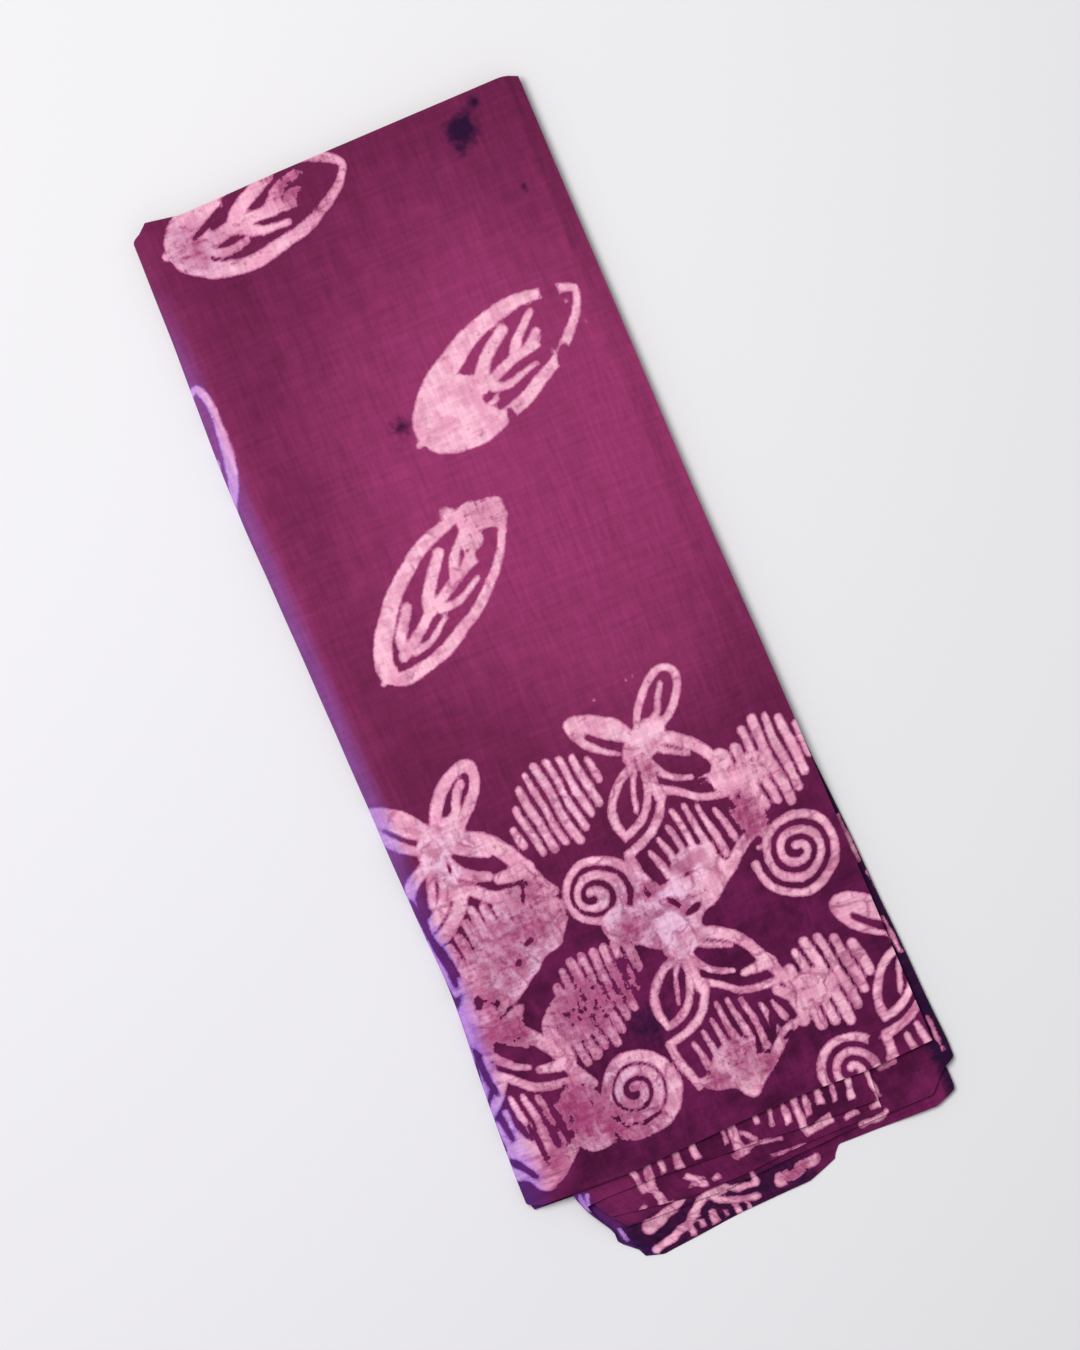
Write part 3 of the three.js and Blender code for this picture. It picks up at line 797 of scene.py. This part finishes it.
def make_cloth():
    """The cloth as one open sheet: the blocks' grids, and a zipper of triangles between each two."""
    blocks = [block(*rows) for rows in BLOCKS]
    faces, first, edges = [], 0, []
    for made in blocks:
        columns, rows = made["along"].shape
        index = first + np.arange(columns * rows).reshape(columns, rows)
        corners = index[:-1, :-1], index[1:, :-1], index[1:, 1:], index[:-1, 1:]
        faces += np.stack([corner.ravel() for corner in corners], 1).tolist()
        edges.append((index[0], index[-1], made["place"]))
        first += index.size
    for (_, left, left_at), (right, _, right_at) in zip(edges[:-1], edges[1:]):
        faces += zipper(left, left_at, right, right_at).tolist()

    points = np.concatenate([made["points"].reshape(-1, 3) for made in blocks])
    along, map_down, wax = (
        np.concatenate([made[name].ravel() for made in blocks]) for name in ("along", "map down", "wax")
    )
    places = (points * [1, -1, 1] + [-MIDDLE[0], MIDDLE[1], 0]) * MM
    mesh = bpy.data.meshes.new("folded_cloth")
    mesh.from_pydata(places, [], faces)
    mesh.polygons.foreach_set("use_smooth", np.ones(len(faces), bool))

    corner_vertex = np.empty(len(mesh.loops), int)
    mesh.loops.foreach_get("vertex_index", corner_vertex)
    flat = np.stack([band_length(along), map_down], 1)[corner_vertex] * MM
    mesh.uv_layers.new(name="cloth").data.foreach_set("uv", flat.ravel())

    flat_spot = points[:, 0] + 1j * points[:, 1]
    on_top = along > 5.9
    own = {
        "wax": wax,
        "seep": soft_spots(flat_spot, SEEPS),
        "pale_wax_and_painted_sheen": soft_spots(flat_spot, PALE_WAX_AND_SHEEN_SPOTS),
        # Stains of dark dye on the top pass, and painted shade under the top pass
        "stains_and_painted_shade": soft_spots(flat_spot, STAINS) * on_top + painted_shade_under_top(points, along),
        "bright": soft_spots(flat_spot, BRIGHTS),
        # Painted violet light along the left folds
        "painted_violet_light": painted_violet_light_at(points, along),
        # Painted light: a broad pool of light over the middle of the top, and a little along the left fold
        "full": painted_light_pool(points),
    }
    for name, values in own.items():
        mesh.attributes.new(name, "FLOAT", "POINT").data.foreach_set("value", values.astype(np.float32))
    mesh.update()
    cloth = bpy.data.objects.new("folded_cloth", mesh)
    bpy.context.collection.objects.link(cloth)
    return cloth


def linear(hex_colour):
    """An sRGB hex colour as linear light: c / 12.92 up to 0.04045, ((c + 0.055) / 1.055) ** 2.4 above."""
    c = np.array([int(hex_colour[i:i + 2], 16) / 255 for i in (1, 3, 5)])
    low, high = c / 12.92, ((c + 0.055) / 1.055) ** 2.4
    return (*np.where(c <= 0.04045, low, high).tolist(), 1.0)


def add(tree, kind, inputs=(), out=0, **settings):
    """A node of a kind, with its settings, and its inputs by name or number: a value, a hex colour, or the
    output that links to it. It gives the output named or numbered by out."""
    made = tree.nodes.new("ShaderNode" + kind)
    for name, value in settings.items():
        setattr(made, name, value)
    for name, value in dict(inputs).items():
        socket = made.inputs[name]
        if isinstance(value, bpy.types.NodeSocket):
            tree.links.new(value, socket)
        else:
            socket.default_value = linear(value) if isinstance(value, str) else value
    return made.outputs[out] if made.outputs else None


# Uneven patterns of the cotton: size in mm, detail, roughness, how the pattern is scaled along the band and
# down it (0.05 draws it out to 20 times its size), and a shift that keeps patterns apart. The yarns lie
# 0.4 mm apart in the cloth and are drawn about 1.5 mm apart, so that they show.
NOISES = {
    "weft": (2.1, 3, 0.55, (0.12, 1), 0.0),
    "warp": (2.0, 3, 0.55, (1, 0.1), 0.4),
    "slub": (3.6, 3, 0.5, (0.08, 1), 0.7),
    "warp bands": (7, 2, 0.5, (1, 0.05), 1.1),
    "clouds": (50, 3, 0.5, (1, 1), 0.0),
    "patches": (12, 4, 0.5, (1, 1), 0.3),
    "blots": (4, 3, 0.5, (1, 1), 0.0),
    "mottle": (13, 5, 0.52, (1, 1), 0.9),
    "down streaks": (2.4, 3, 0.5, (1, 0.16), 0.9),
    "across streaks": (2.4, 3, 0.5, (0.16, 1), 0.15),
    "specks": (5, 5, 0.62, (1, 1), 0.2),
    "crack places": (10, 3, 0.5, (1, 1), 0.6),
    "crease places": (13, 3, 0.5, (1, 1), 1.6),
    "wander": (6, 3, 0.5, (1, 1), 0.5),
    "jags": (1.6, 2, 0.5, (1, 1), 0.8),
    "crumple": (10, 3, 0.5, (1, 1), 0.35),
}

# Sums of patterns, each times its weight, on top of a start value
SUMS = [
    ("yarns", 0.1, {"weft": 0.8, "warp": 1.2, "slub": 0.6, "warp bands": 0.8}),
    # Painted light from the full attribute, with the dye's uneven tone from clouds and patches
    ("painted_light_and_tone", -0.28, {"full": 1.0, "clouds": 0.30, "patches": 0.26}),
    ("border depth", -0.03, {"down": 1.0, "clouds": 0.06}),
    ("unevenness", 0.0, {"clouds": 0.6, "patches": 0.4}),
    # Dark dye stains and painted shade, broken up by blots
    ("stained_and_shaded", 0.0, {"stains_and_painted_shade": 1.0, "blots": 0.7}),
    ("streaky", 0.0, {"mottle": 0.7, "down streaks": 0.15, "across streaks": 0.15}),
    ("crack places", 0.0, {"crack places": 1.0, "down": 0.5}),
    ("crease places", -0.15, {"crease places": 1.0, "down": 0.5}),
    ("crept", 0.0, {"specks": 0.66, "down streaks": 0.17, "across streaks": 0.17, "seep": 0.17}),
    ("veil", 0.0, {"seep": 0.8, "mottle": 0.7, "across streaks": 0.45, "down streaks": 0.45}),
]

# Coats of colour. Each is laid over what is under it, from none where its pattern is at the first value to
# all of its strength at the second
COATS = [
    # The ground made lighter by the painted light and by the dye's uneven tone
    ("ground", "painted_light_and_tone", 0.10, 0.85, 1.0, "#903263"),
    ("border", "unevenness", 0.38, 0.60, 1.0, "#66194a"),
    ("ground", "border depth", 0.325, 0.49, 1.0, "border"),
    # The ground lighter near the hems
    ("ground", "bright", 0.0, 1.0, 0.6, "#85295f"),
    # The painted violet light: its colour, deeper in the border, laid on the ground
    ("painted_violet_light", "border depth", 0.35, 0.42, 1.0, "#54297c"),
    ("ground", "painted_violet_light", 0.0, 1.0, 0.6, "painted_violet_light"),
    # Dark dye stains, and painted shade under the top pass
    ("ground", "stained_and_shaded", 0.55, 1.15, 0.95, "#240930"),
    ("wax", "streaky", 0.42, 0.58, 1.0, "#f3b9cd"),
    ("milky", "streaky", 0.42, 0.58, 1.0, "#e8bddb"),
    # The wax pools: paler wax, with a painted sheen in the milky mottle
    ("wax", "pale_wax_and_painted_sheen", 0.1, 0.9, 0.9, "milky"),
    ("wax", "veil", 0.85, 1.55, 0.85, "#a84877"),
    ("wax", "crept", 0.54, 0.72, 0.85, "#93305f"),
    ("wax", "creases", 0.12, 0.0, "crease places", "#9c4070"),
    ("wax", "cracks", 0.09, 0.0, "crack places", "#8c3562"),
    # Painted violet light on the wax and on the marks' rims
    ("wax", "painted_violet_light", 0.0, 1.0, 0.6, "#9c78dc"),
    ("rim", "painted_violet_light", 0.0, 0.6, 0.9, "#8058b4"),
]


def dyed_cotton():
    """Wax-resist dyed cotton: plain-woven cotton, stamped with hot wax, dyed and boiled clean. The eye gets
    a matt cloth with uneven yarns, deep plum dye, and pale pink marks with crisp but wandering edges, cracks
    and patches where the dye crept under the wax."""
    material = bpy.data.materials.new("wax-resist dyed cotton")
    material.use_nodes = True
    tree = material.node_tree
    tree.nodes.clear()

    # The cloth's own map is in metres, so a pattern's scale is 1 / its size in metres
    place = add(tree, "UVMap", uv_map="cloth")
    found = {"down": add(tree, "Math", {0: add(tree, "SeparateXYZ", {0: place}, "Y")}, operation="ABSOLUTE")}
    for name in ("wax", "seep", "pale_wax_and_painted_sheen", "stains_and_painted_shade", "bright", "painted_violet_light", "full"):
        found[name] = add(tree, "Attribute", out="Fac", attribute_name=name)
    for name, (size, detail, rough, stretch, shift) in NOISES.items():
        moved = add(tree, "Mapping", {
            "Vector": place, "Scale": (*stretch, 1), "Location": (shift, shift, 0)})
        found[name] = add(tree, "TexNoise", {
            "Vector": moved, "Scale": 1 / (size * MM), "Detail": detail, "Roughness": rough})
    for name, start, weights in SUMS:
        total = start
        for part, weight in weights.items():
            total = add(tree, "Math", {0: found[part], 1: weight, 2: total}, operation="MULTIPLY_ADD")
        found[name] = total

    # Cracks of the cold wax in places, 7 mm apart, and where it was folded, 16 mm apart, bent by a small
    # noise
    jitter = add(tree, "TexNoise", {"Vector": place, "Scale": 90.0, "Detail": 3.0}, "Color")
    bent = add(tree, "Mix", {0: 0.014, 4: place, 5: jitter}, 1, data_type="VECTOR")
    for name, size, low, high, most in (("crack", 7, 0.70, 0.94, 0.45), ("crease", 16, 0.47, 0.64, 0.65)):
        found[name + "s"] = add(
            tree, "TexVoronoi", {"Vector": bent, "Scale": 1 / (size * MM)}, feature="DISTANCE_TO_EDGE")
        found[name + " places"] = add(tree, "MapRange", {
            "Value": found[name + " places"], "From Min": low, "From Max": high, "To Max": most})

    # Plum dye on the ground, deeper and bluer in the border; pink cotton under the wax, greyer there
    # violet is the colour of the painted violet light; milky also carries the painted sheen of the wax pools
    coats = {
        "ground": "#671d45", "border": "#460c33", "painted_violet_light": "#86509a",
        "wax": "#e09ab6", "milky": "#b26a8b", "rim": "#b05c86",
    }
    for coat, pattern, low, high, strength, colour in COATS:
        most = found.get(strength, strength)
        share = add(tree, "MapRange", {
            "Value": found[pattern], "From Min": low, "From Max": high, "To Max": most,
        }, interpolation_type="SMOOTHSTEP")
        over = coats.get(colour, colour)
        coats[coat] = add(tree, "Mix", {0: share, 6: coats[coat], 7: over}, 2, data_type="RGBA")

    # A mark's edge wanders by about half a millimetre, and is broken where much dye crept in. Dye darkens
    # its outer millimetre
    found["broken"] = add(tree, "MapRange", {
        "Value": found["crept"], "From Min": 0.60, "From Max": 0.72, "To Max": found["seep"]})
    edge = -1.4
    for part, weight in {"wax": 1.0, "wander": 1.7, "jags": 1.1, "broken": -3.0}.items():
        edge = add(tree, "Math", {0: found[part], 1: weight, 2: edge}, operation="MULTIPLY_ADD")
    colour = coats["ground"]
    for low, high, over in ((-0.35, 0.25, coats["rim"]), (0.1, 1.3, coats["wax"])):
        share = add(tree, "MapRange", {"Value": edge, "From Min": low, "From Max": high})
        colour = add(tree, "Mix", {0: share, 6: colour, 7: over}, 2, data_type="RGBA")

    # The yarns shade the colour by up to a fifth, and stand 0.12 mm in relief on a soft, creased crumple
    shade = add(tree, "MapRange", {
        "Value": found["yarns"], "From Min": 1.4, "From Max": 2.2, "To Min": 0.81, "To Max": 1.19})
    colour = add(tree, "HueSaturation", {"Color": colour, "Value": shade})
    where = add(tree, "MapRange", {
        "Value": found["down"], "From Min": 0.30, "From Max": 0.42, "To Min": 0.3})
    height = add(tree, "Math", {
        0: found["across streaks"], 1: 0.3, 2: found["crumple"]}, operation="MULTIPLY_ADD")
    fold = add(tree, "MapRange", {"Value": found["creases"], "From Max": 0.16, "To Max": 0.15})
    height = add(tree, "Math", {0: height, 1: fold})
    height = add(tree, "Math", {0: height, 1: where}, operation="MULTIPLY")
    crumple = add(tree, "Bump", {"Height": height, "Strength": 1.0, "Distance": 2.4 * MM})
    weave = add(tree, "Bump", {
        "Height": found["yarns"], "Strength": 0.6, "Distance": 0.12 * MM, "Normal": crumple})
    surface = add(tree, "BsdfPrincipled", {
        "Base Color": colour, "Roughness": 0.88, "Specular IOR Level": 0.10, "Sheen Weight": 0.03,
        "Sheen Roughness": 0.5, "Normal": weave})
    add(tree, "OutputMaterial", {"Surface": surface})
    return material


def pale_floor():
    """Painted board under studio light: matt and near white, so the cloth's edge reads clearly."""
    material = bpy.data.materials.new("matt painted board")
    material.use_nodes = True
    surface = material.node_tree.nodes["Principled BSDF"]
    surface.inputs["Base Color"].default_value = linear("#e6e6e7")
    surface.inputs["Roughness"].default_value = 0.9
    return material


def light(name, place, aim, size, power, colour):
    """A square soft light at a place, turned to face a point."""
    lamp = bpy.data.lights.new(name, "AREA")
    lamp.shape = "SQUARE"
    lamp.size = size
    lamp.energy = power
    lamp.color = linear(colour)[:3]
    made = bpy.data.objects.new(name, lamp)
    made.location = place
    made.rotation_euler = (Vector(aim) - Vector(place)).to_track_quat("-Z", "Y").to_euler()
    bpy.context.collection.objects.link(made)


cloth = make_cloth()
cloth.data.materials.append(dyed_cotton())

bpy.ops.mesh.primitive_plane_add(size=8)
floor = bpy.context.object
floor.name = "floor"
floor.data.materials.append(pale_floor())

light("overhead softbox", (-0.6, 0.7, 2.3), (0, 0, 0), 1.3, 49, "#fffdfb")
light("window on the left", (-1.7, -0.1, 0.42), (0, 0, 0), 0.9, 2.8, "#a58cff")
world = bpy.data.worlds.new("studio")
bpy.context.scene.world = world
world.use_nodes = True
world.node_tree.nodes["Background"].inputs["Color"].default_value = linear("#f2f2f8")
world.node_tree.nodes["Background"].inputs["Strength"].default_value = 0.42

# The camera looks straight down from 3 m, turned so that the cloth lies as in the photograph. Its view is
# 740.6 mm high on the cloth.
FRAME_HEIGHT, CAMERA_HEIGHT = 740.6 * MM, 3.0
bpy.context.scene.view_settings.view_transform = "Standard"
view = bpy.data.cameras.new("camera")
view.sensor_fit = "VERTICAL"
view.sensor_height = 24
view.lens = view.sensor_height * CAMERA_HEIGHT / FRAME_HEIGHT
camera = bpy.data.objects.new("camera", view)
camera.location = (-5.5 * MM, 4.2 * MM, CAMERA_HEIGHT + LEVEL[1] * MM)
camera.rotation_euler = (0, 0, np.radians(-22.5))
bpy.context.collection.objects.link(camera)
bpy.context.scene.camera = camera

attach(cloth, "root")
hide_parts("cloth")
